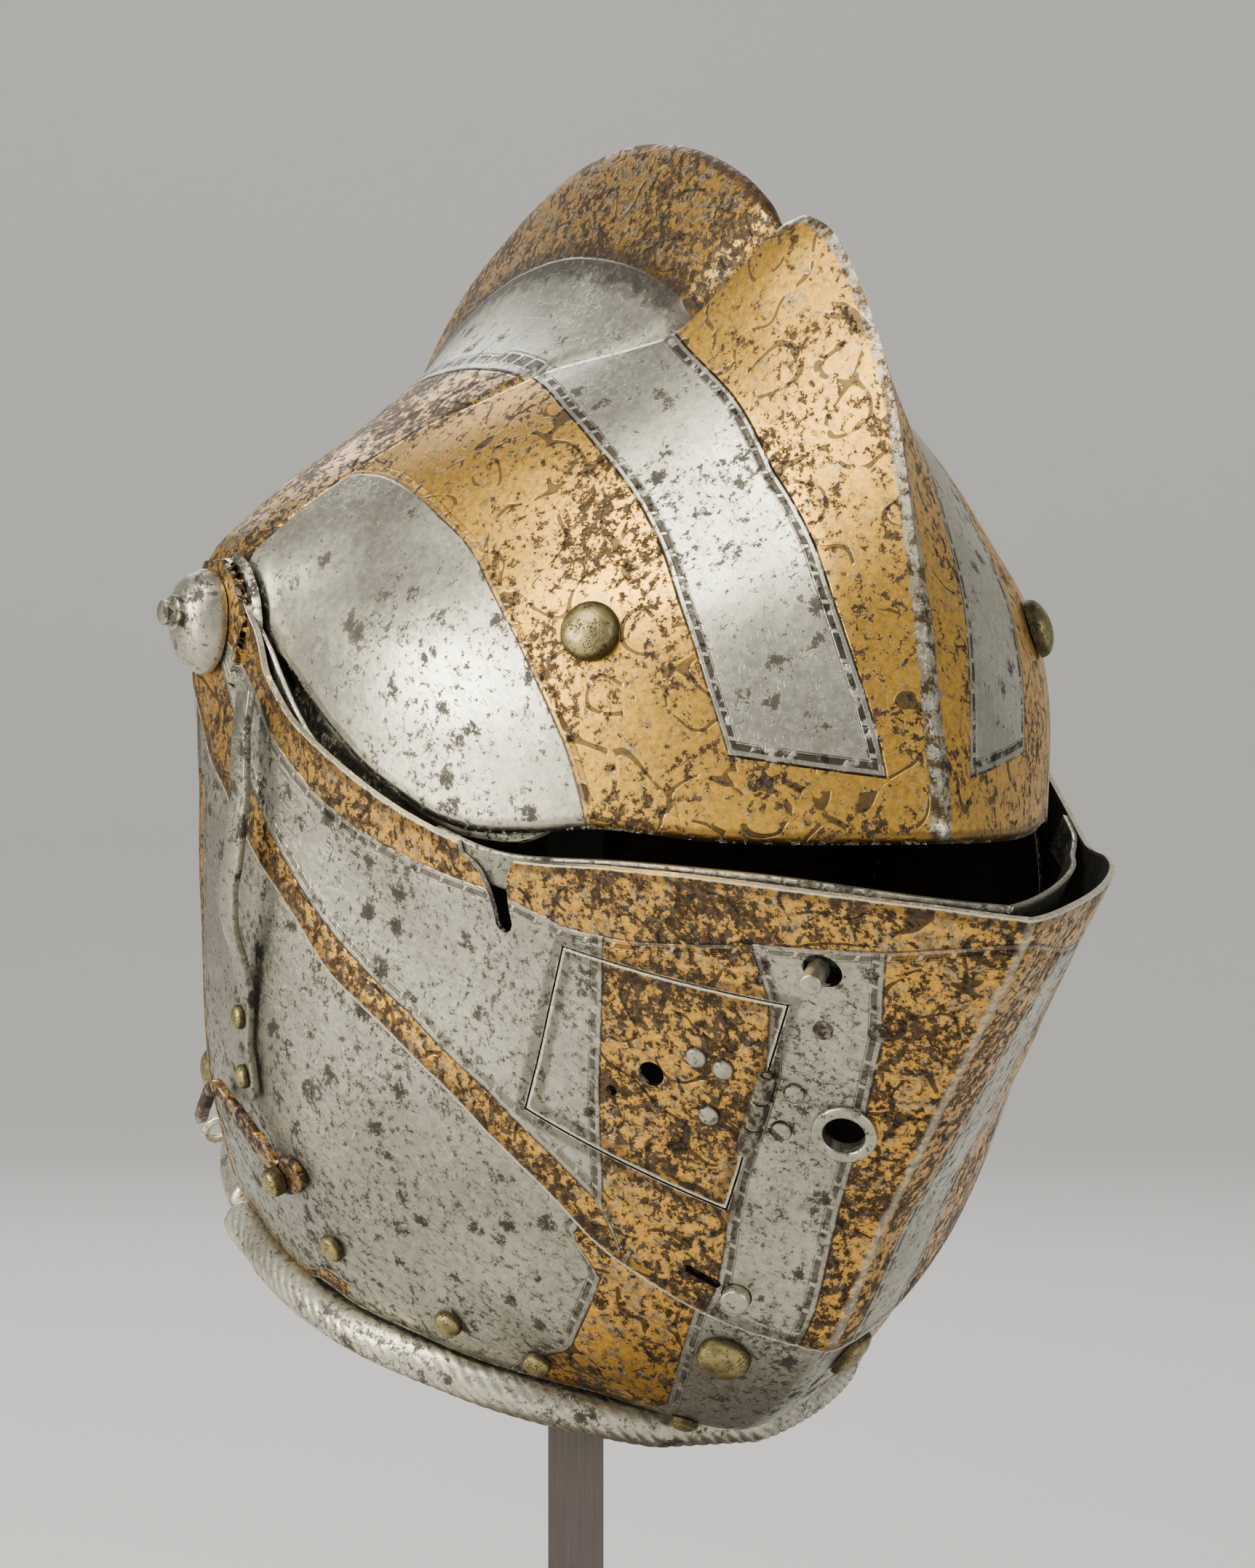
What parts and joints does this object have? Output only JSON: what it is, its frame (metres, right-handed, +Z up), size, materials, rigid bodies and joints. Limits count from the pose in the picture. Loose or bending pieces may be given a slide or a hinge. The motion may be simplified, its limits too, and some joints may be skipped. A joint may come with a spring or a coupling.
{
  "type": "close helmet on display stand",
  "caption": "Steel close helmet with a high comb, hinged face plates with a breath door and gilt bands, held on a plain post stand.",
  "frame": {"origin": "centre of the stand base's underside, on the floor straight under the middle of the pivot axis", "axes": "+Z up, the face looks along -Y, the wearer's left is +X"},
  "size_m": [0.229, 0.3164, 0.3963],
  "materials": {
    "steel": "worn, pitted",
    "gilt_steel": "etched and gilt in bands, worn",
    "brass": "dull",
    "dark_steel": "darkened",
    "stand_steel": "grey-brown paint"
  },
  "bodies": {
    "helmet_on_stand": {"brow_plate": "gilt_steel", "brow_rivet_left": "brass", "brow_rivet_right": "brass", "nape_rim": "steel", "nape_rivet": "brass", "neck_staple": "steel", "pivot_bolt_left": "dark_steel", "pivot_bolt_right": "dark_steel", "pivot_cap_left": "steel", "pivot_cap_right": "steel", "skull": "steel", "stand_base": "stand_steel", "stand_cradle": "stand_steel", "stand_post": "stand_steel"},
    "lower_bevor_body": {"bar_rivet_1": "brass", "bar_rivet_2": "brass", "catch_bar": "steel", "chin_front_rivet": "brass", "chin_rivet_left": "brass", "chin_rivet_right": "brass", "lining_rivet_left_1": "brass", "lining_rivet_left_2": "brass", "lining_rivet_left_3": "brass", "lining_rivet_right_1": "brass", "lining_rivet_right_2": "brass", "lining_rivet_right_3": "brass", "lower_bevor": "steel", "lower_rim": "steel"},
    "upper_bevor_body": {"frame_rivet_1": "steel", "frame_rivet_2": "steel", "hinge_knuckle_1": "dark_steel", "hinge_knuckle_3": "dark_steel", "hinge_pin": "steel", "hole_plug_1": "dark_steel", "hole_plug_2": "dark_steel", "inner_sight_plate": "steel", "lower_stud": "steel", "ring_bush": "steel", "upper_bevor": "gilt_steel", "upper_stud": "steel"},
    "breath_door_body": {"breath_door": "gilt_steel", "door_rivet_1": "steel", "door_rivet_2": "steel", "door_rivet_3": "steel", "hinge_knuckle_2": "dark_steel"},
    "neck_hook_body": {"hook_rivet": "brass", "neck_hook": "steel"}
  },
  "joints": [
    {"name": "bevor_lift", "type": "hinge", "parent": "helmet_on_stand", "child": "lower_bevor_body", "pos_m": [0, 0, 0.283], "axis": [-1, 0, 0], "range_deg": [0, 45]},
    {"name": "visor_lift", "type": "hinge", "parent": "lower_bevor_body", "child": "upper_bevor_body", "pos_m": [0, 0, 0.283], "axis": [-1, 0, 0], "range_deg": [0, 60]},
    {"name": "breath_door_hinge", "type": "hinge", "parent": "upper_bevor_body", "child": "breath_door_body", "pos_m": [-0.03436, -0.14424, 0.1676], "axis": [-0.0751, -0.5858, 0.807], "range_deg": [0, 100]},
    {"name": "neck_hook_swing", "type": "hinge", "parent": "lower_bevor_body", "child": "neck_hook_body", "pos_m": [-0.08654, -0.01232, 0.14736], "axis": [-0.9262, 0.0576, -0.3726], "range_deg": [0, 30]}
  ]
}
